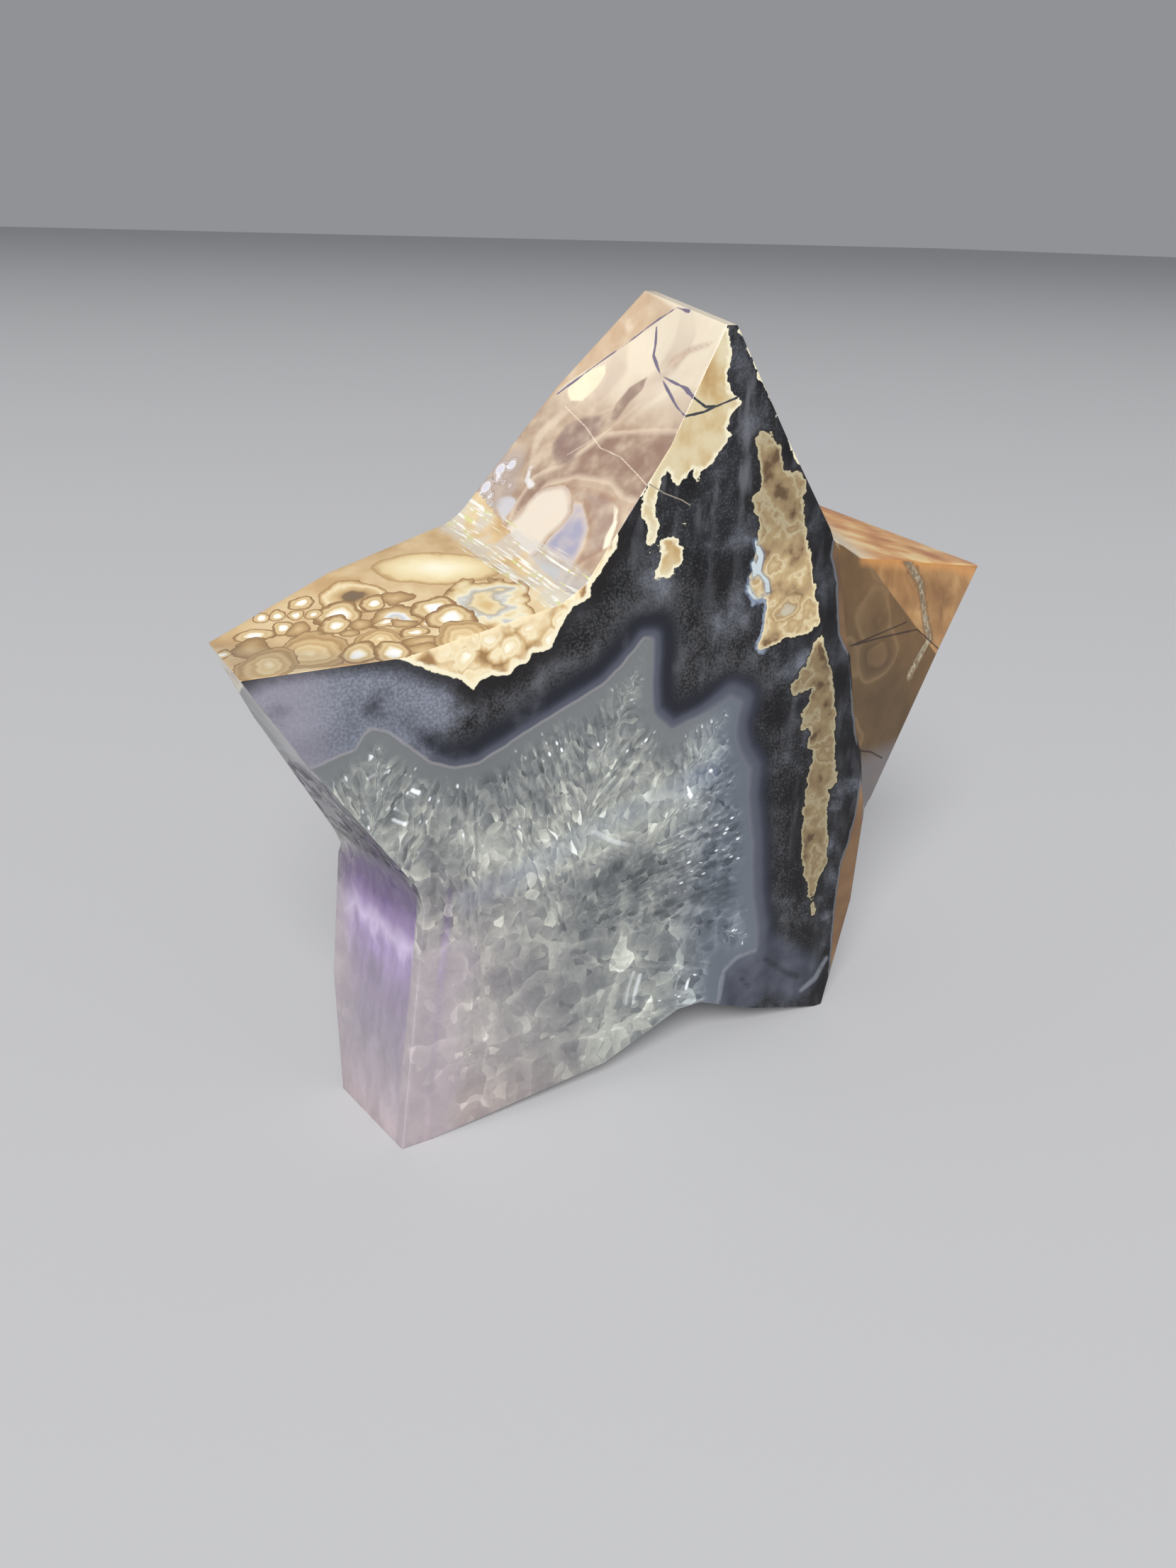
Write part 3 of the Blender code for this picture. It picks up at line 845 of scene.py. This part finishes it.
def front_material(name, parts):
    """The finish of faces where those parts of the stone may show."""
    made = Finish(name)
    quartz = made.rough_edge("quartz", 0.25, 0.35, 2)
    colour = dark_colour(made, quartz) if "dark" in parts else None
    in_quartz = 1.0
    if "quartz" in parts:
        grey, tilt, calm = quartz_colour(made, quartz)
        if colour:
            in_quartz = made.step(quartz, -0.1, 0.1)
            colour = made.mix(in_quartz, colour, grey)
        else:
            colour = grey
    if "rind" in parts:
        rind = made.rough_edge("rind", 0.45, 1, 3)
        if colour:
            colour = made.lay(colour, (24, 20, 20), rind, -3, -0.4, 0.85)
        golden = rind_colour(made, rind)
        golden = made.lay(golden, tan_rock(made), made.field("rind"), 6, 9)
        colour = made.lay(colour, golden, rind, -0.08, 0.06) if colour else golden
    if "inclusions" in parts:
        colour = inclusions(made, colour)
    if "brown" in parts:
        arm = made.rough_edge("brown", 0.3, 0.5, 2)
        arm_colour = made.ramp(made.noise(0.1, 3), [
            (0.3, 84, 62, 46), (0.55, 122, 94, 68), (0.75, 150, 118, 82)])
        line = made.times(made.step(arm, -0.5, -0.2), made.step(arm, 0.1, -0.1))
        colour = made.mix(line, colour, (132, 134, 140), 0.5)
        colour = made.lay(colour, arm_colour, arm, -0.15, 0.15)
    if "inclusions" in parts:
        crack = made.times_plus(made.noise(0.9, 1), 0.2, made.field("front crack"))
        colour = made.lay(colour, (58, 60, 66), crack, 0.3, 0.2)
        colour = made.lay(colour, (150, 140, 126), made.field("front thread"), 0.1, 0.05)
    if "quartz" not in parts:
        return made.polish(colour, 0.06, 0.3)

    # Milky quartz, whose crystals below the polish catch the light each in its own way
    lean = made.times(made.step(quartz, 0.8, 4), made.times(calm, 0.5))
    leaned = made.node("VectorMath", {"Vector": tilt, "Scale": lean}, operation="SCALE")
    normal = made.node("NewGeometry").outputs["Normal"]
    facet = made.vector("NORMALIZE", made.vector("ADD", normal, leaned.outputs["Vector"]))
    made.set(Subsurface_Weight=made.times(in_quartz, 0.4), Subsurface_Radius=(1, 1, 1),
             Subsurface_Scale=0.002, Normal=facet)
    return made.polish(colour, 0.1, 0.3)


def saw_scratches(made, colour):
    """White and greenish scratches that the saw left, running from front to back in the notch."""
    across = made.node("CombineXYZ", {
        "X": made.dot(made.place, (2.8, 0.37, 0)),
        "Y": made.dot(made.place, (0, 0.16, 0)),
        "Z": made.dot(made.place, (0, -0.46, 2.8)),
    }).outputs["Vector"]
    lines = made.noise(1, 2, place=across)
    scratch = made.step(lines, 0.52, 0.62)
    edge = made.times_plus(lines, 3, -1.5)
    band = made.step(made.plus(edge, made.field("saw band")), -0.4, 0.5)
    chalk = made.times(made.step(made.noise(0.22, 2), 0.42, 0.6), 0.55)
    colour = made.mix(band, colour, (204, 204, 202), chalk)
    worn = made.times(band, scratch)
    pale = made.lay((240, 240, 230), (212, 212, 150), made.noise(0.7, 1), 0.5, 0.6)
    return made.mix(worn, colour, pale, 0.9), worn


def scale_agate():
    """The left arm's upper wall: domed scales with white middles."""
    made = Finish("scale agate")
    wobble = made.vector("SUBTRACT", made.noise(0.32, 3, out="Color"), (0.5, 0.5, 0.5))
    place = made.vector("MULTIPLY_ADD", wobble, (2.2, 2.2, 2.2), made.place)
    across = (math.cos(SCALE_TURN), -math.sin(SCALE_TURN), 0)
    along = (math.sin(SCALE_TURN), math.cos(SCALE_TURN), 0)
    flat = made.node("CombineXYZ", {
        "X": made.dot(place, across), "Y": made.dot(place, along)}).outputs["Vector"]

    # Where no dome lies the wall is tan, with one big pale ellipse
    soft = made.noise(0.15, 3)
    colour = made.ramp(soft, [(0.35, 196, 162, 116), (0.5, 214, 186, 142), (0.7, 232, 212, 172)])
    big = made.vector("MULTIPLY_ADD", flat, (1 / 8.6, 1 / 4.4, 1), (28.4 / 8.6, 15.6 / 4.4, 0))
    far = made.vector("LENGTH", big)
    pale = made.ramp(far, [
        (0, 255, 250, 226), (0.45, 248, 234, 192), (0.8, 230, 206, 156), (0.96, 184, 148, 100),
        (1, 214, 188, 144)])
    colour = made.mix(made.math("LESS_THAN", far, 1), colour, pale)

    bands = {
        "white": [
            (0, 250, 250, 248), (0.3, 244, 242, 236), (0.42, 240, 226, 190), (0.55, 206, 176, 126),
            (0.72, 222, 198, 152), (0.86, 168, 134, 92), (1, 138, 106, 72)],
        "ring": [
            (0, 168, 132, 84), (0.16, 226, 214, 190), (0.3, 196, 200, 206), (0.5, 236, 236, 232),
            (0.58, 220, 196, 150), (0.8, 190, 158, 112), (1, 140, 108, 74)],
        "fan": [
            (0, 246, 232, 196), (0.22, 222, 194, 144), (0.4, 230, 206, 160), (0.5, 200, 168, 118),
            (0.66, 216, 188, 140), (0.8, 176, 142, 96), (0.93, 196, 166, 120), (1, 136, 104, 70)],
        "plain": [(0, 214, 186, 140), (0.6, 186, 154, 108), (1, 146, 114, 78)],
        "lens": [
            (0, 122, 104, 84), (0.28, 128, 106, 80), (0.38, 186, 154, 108), (0.6, 214, 186, 138),
            (0.75, 238, 220, 180), (0.9, 196, 162, 112), (1, 150, 118, 80)],
        "eye": [
            (0, 214, 184, 130), (0.3, 232, 214, 172), (0.42, 186, 176, 156), (0.56, 206, 206, 200),
            (0.64, 238, 228, 196), (0.8, 226, 204, 158), (0.92, 190, 156, 110), (1, 140, 106, 70)],
    }
    uneven = made.centred(made.noise(0.3, 2))
    for kind, across_mid, along_mid, wide, deep in SCALES:
        moved = made.vector("MULTIPLY_ADD", flat, (1 / wide, 1 / deep, 0),
                            (-across_mid / wide, -along_mid / deep, 0))
        far = made.times_plus(uneven, 1.3 if kind == "eye" else 0.4, made.vector("LENGTH", moved))
        inside = made.math("LESS_THAN", far, 1)
        colour = made.mix(inside, colour, made.ramp(far, bands[kind]))
    colour, _ = saw_scratches(made, colour)
    return made.polish(colour, 0.07)


def swirl_agate():
    """The top arm's left wall: pinkish tan swirls, a half moon and a lavender lens."""
    made = Finish("swirl agate")
    flow = made.noise(0.07, 2, warp=1.2)
    high = made.along("Z")
    lines = made.noise(1, 1, place=made.vector("MULTIPLY_ADD", flow, (7, 7, 7),
                                                 made.vector("MULTIPLY", made.place, (0.1, 0.04, 0.1))))
    colour = made.ramp(flow, [
        (0.32, 154, 128, 110), (0.44, 178, 152, 130), (0.53, 196, 172, 148), (0.62, 174, 146, 124),
        (0.74, 156, 130, 112)])
    # Lighter and creamier towards the top: partly the stone's cream, partly a painted highlight near
    # the tip
    colour = made.lay(colour, (226, 210, 190), high, 93, 99, 0.75)
    cream = made.times_plus(made.centred(flow), 30, high)
    colour = made.lay(colour, (242, 230, 206), cream, 97, 104, 0.8)
    colour = made.shade(colour, made.times_plus(lines, 0.24, 0.86))
    wobble = made.times_plus(made.noise(0.4, 2), 0.5, -0.25)
    for name, (shade, outer, inner, share, _) in PATCHES.items():
        depth = made.plus(wobble, made.field(name))
        colour = made.lay(colour, shade, depth, outer, inner, share)
        if name in ("half moon", "lavender", "halo", "lower wave"):
            rim = made.times(made.step(depth, -0.3, 0.05), made.step(depth, 0.9, 0.1))
            edge = (226, 206, 184) if name in ("lavender", "lower wave") else (160, 122, 98)
            colour = made.mix(rim, colour, edge, 0.5)
    bubble = made.field("bubbles")
    ring = made.ramp(made.times(bubble, 1.4), [
        (0, 140, 118, 104), (0.2, 206, 194, 186), (0.4, 176, 162, 156), (0.62, 232, 228, 228),
        (0.9, 214, 212, 222)])
    colour = made.lay(colour, (182, 168, 160), bubble, -1.8, -0.2, 0.7)
    colour = made.lay(colour, ring, bubble, -0.05, 0.05)

    colour, worn = saw_scratches(made, colour)
    crack = made.times_plus(made.noise(0.35, 2), 0.6, made.field("top crack"))
    colour = made.lay(colour, (122, 112, 132), crack, 0.5, 0.4)
    thread = made.field("top thread")
    colour = made.lay(colour, (240, 226, 204), thread, 0.09, 0.03, 0.7)
    return made.polish(colour, made.times_plus(worn, 0.3, 0.07))


def brown_agate():
    """The right arm: brown with faint rings on its near facet, orange brown on its end facet, where
    some of the orange is painted light through the thin tip.
    """
    made = Finish("brown agate")
    warp = made.bent(0.08, 2, 9)
    rings = made.cells(0.1, warp)
    colour = made.ramp(rings, [
        (0, 98, 78, 54), (0.16, 108, 86, 60), (0.22, 86, 67, 46), (0.36, 104, 83, 57),
        (0.44, 124, 101, 72), (0.5, 100, 79, 53), (0.8, 90, 70, 47)])
    soft = made.noise(0.2, 3, place=warp)
    orange = made.ramp(soft, [(0.3, 142, 101, 61), (0.5, 168, 125, 78), (0.7, 192, 150, 100)])
    # The end facet is painted lighter and oranger towards the tip: partly its own colour, partly
    # painted light shining through the thin stone
    end = made.dot(made.place, (0.664, 0, 0.746))
    colour = made.lay(colour, (160, 118, 74), end, 62, 73, 0.2)
    colour = made.lay(colour, orange, end, 73.7, 74.1)
    mottled = made.times_plus(made.noise(0.35, 3), 0.5, 0.75)
    colour = made.shade(colour, mottled)
    colour = made.lay(colour, (112, 108, 110), made.along("Z"), 46, 42, 0.85)
    colour = made.lay(colour, (226, 160, 92), made.field("arm top edge"), 1.8, 0.2, 0.6)

    # The top wall runs in streaks from cream at the notch to orange at the tip
    streaks = made.noise(1, 3, place=made.vector("MULTIPLY", made.place, (0.07, 0.3, 0.3)))
    bright = made.ramp(streaks, [(0.34, 248, 214, 150), (0.5, 226, 164, 92), (0.66, 190, 118, 54)])
    bright = made.lay(bright, (240, 224, 190), made.along("X"), 34, 24)
    colour = made.mix(made.field("right top"), colour, bright)
    speck = made.noise(1.1, 3)
    vein = made.times_plus(made.centred(speck), 2.2, made.field("arm vein"))
    colour = made.lay(colour, (104, 76, 48), vein, 1.4, 0.9, 0.5)
    pale = made.lay((128, 112, 88), (190, 178, 152), speck, 0.42, 0.6)
    colour = made.lay(colour, pale, vein, 0.9, 0.5, 0.85)
    crack = made.times_plus(mottled, 0.25, made.field("arm crack"))
    colour = made.lay(colour, (46, 34, 28), crack, 0.46, 0.32, 0.85)
    arm = made.rough_edge("brown", 0.3, 0.5, 3)
    colour = made.lay(colour, (24, 23, 26), arm, 0.15, -0.15)
    return made.polish(colour, 0.1, 0.25)


def finish_each_face(mesh, fields):
    """Give each face the finish of its wall, and on the front of the parts that may show there."""
    meeting, scales, swirls, arm, black, grey, rind, islands, rim = range(9)
    everything = ("dark", "quartz", "rind", "inclusions", "brown")
    for material in (
        front_material("where bands meet", everything), scale_agate(), swirl_agate(), brown_agate(),
        front_material("black chalcedony", ("dark",)), front_material("grey quartz", ("quartz",)),
        front_material("tan rind", ("rind",)),
        front_material("black and cream", ("dark", "inclusions")),
        front_material("quartz rim", ("dark", "quartz")),
    ):
        mesh.materials.append(material)

    x, _, z = read_values(mesh.polygons, "center", 3).T / MM
    nx, ny, nz = read_values(mesh.polygons, "normal", 3).T
    corners = read_values(mesh.polygons, "vertices", 3, int)
    low = {name: field[corners].min(axis=1) for name, field in fields.items()}
    high = {name: field[corners].max(axis=1) for name, field in fields.items()}
    no_cream = (high["pale cream"] < -0.6) & (high["brown cream"] < -1)
    for line, room in (("front crack", 0.4), ("front thread", 0.2), ("white hook", 1.2)):
        no_cream &= low[line] > room
    no_brown = high["brown"] < -0.8
    no_quartz = high["quartz"] < -0.4
    plain = (high["rind"] < -3.6) & no_brown
    wall = (ny < 0.7) & (ny > -0.75)
    left_top = wall & (x < -21.5) & (z > 67) & (nz > 0.2)
    right_facets = (ny < -0.8) & (ny > -0.9925) & (x > 20)

    chosen = np.full(len(x), meeting)
    for finish, where in (
        (islands, plain & no_quartz),
        (rim, plain & no_cream),
        (black, plain & no_cream & no_quartz),
        (grey, plain & no_cream & (low["quartz"] > 0.4)),
        (rind, no_cream & (low["rind"] > 0.6) & no_brown),
        (scales, left_top),
        (swirls, wall & (z > 73) & (x <= 1.5) & ~left_top & (nx < 0.2)),
        (arm, right_facets | (wall & (x > 21))),
    ):
        chosen[where] = finish
    mesh.polygons.foreach_set("material_index", chosen)


mesh = stone_mesh(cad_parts["star"])
finish_each_face(mesh, add_markings(mesh))
stone = bpy.data.objects.new("stone", mesh)
bpy.context.scene.collection.objects.link(stone)
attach(stone, "root")
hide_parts("star")


# Camera, floor and light

# The photograph's camera: its place in mm, its turn, dip and tilt in radians, its focal length as
# a share of the picture's height, and how near and far it sees, in metres
CAMERA_SPOT = (-95.58, -142.82, 116.6)
CAMERA_ANGLES = (0.541251, -0.421283, 0.02865)
FOCAL_SHARE = 1750 / 2212
SENSOR = 36
CAMERA_CLIP = (0.005, 40)

FLOOR_HALF = 12.0
FLOOR_COLOUR = (0.60, 0.60, 0.61, 1)
AIR_COLOUR = (0.60, 0.61, 0.64, 1)
AIR_LIGHT = 0.47

# The one soft light: its place and what it points at in mm, its width in metres, its watts. It falls
# about evenly on the front and the upper walls, whose colours already hold painted light and shade
LIGHT_SPOT = (-1920, -2700, 2800)
LIGHT_TARGET = (0, 0, 50)
LIGHT_SIZE = 2.4
LIGHT_POWER = 202


def make_camera():
    """The photograph's camera: where it stood, its turn, dip and tilt, and its lens."""
    turn, dip, tilt = CAMERA_ANGLES
    look = Vector((math.cos(dip) * math.sin(turn), math.cos(dip) * math.cos(turn), math.sin(dip)))
    level = Vector((math.cos(turn), -math.sin(turn), 0))
    upright = level.cross(look)
    right = level * math.cos(tilt) + upright * math.sin(tilt)
    up = upright * math.cos(tilt) - level * math.sin(tilt)
    camera = bpy.data.objects.new("camera", bpy.data.cameras.new("camera"))
    bpy.context.scene.collection.objects.link(camera)
    turned = Matrix((right, up, -look)).transposed().to_4x4()
    camera.matrix_world = Matrix.Translation(Vector(CAMERA_SPOT) * MM) @ turned
    camera.data.sensor_width = SENSOR
    camera.data.lens = FOCAL_SHARE * SENSOR
    camera.data.clip_start, camera.data.clip_end = CAMERA_CLIP
    bpy.context.scene.camera = camera


def make_floor():
    floor_mesh = bpy.data.meshes.new("floor")
    corners = [(FLOOR_HALF * x, FLOOR_HALF * y, 0) for x, y in ((-1, -1), (1, -1), (1, 1), (-1, 1))]
    floor_mesh.from_pydata(corners, [], [(0, 1, 2, 3)])
    floor = bpy.data.objects.new("floor", floor_mesh)
    bpy.context.scene.collection.objects.link(floor)
    made = Finish("pale floor")
    made.shader.inputs["Base Color"].default_value = FLOOR_COLOUR
    made.set(Roughness=0.8)
    floor_mesh.materials.append(made.material)


def make_light():
    lamp = bpy.data.lights.new("key", "AREA")
    lamp.shape = "DISK"
    lamp.size = LIGHT_SIZE
    lamp.energy = LIGHT_POWER
    light = bpy.data.objects.new("key", lamp)
    bpy.context.scene.collection.objects.link(light)
    light.location = Vector(LIGHT_SPOT) * MM
    aim = (Vector(LIGHT_TARGET) - Vector(LIGHT_SPOT)).to_track_quat("-Z", "Y")
    light.rotation_euler = aim.to_euler()


def make_surroundings():
    world = bpy.data.worlds.new("studio")
    world.use_nodes = True
    background = world.node_tree.nodes["Background"]
    background.inputs["Color"].default_value = AIR_COLOUR
    background.inputs["Strength"].default_value = AIR_LIGHT
    bpy.context.scene.world = world
    bpy.context.scene.view_settings.view_transform = "Standard"
    make_light()


make_camera()
make_floor()
make_surroundings()
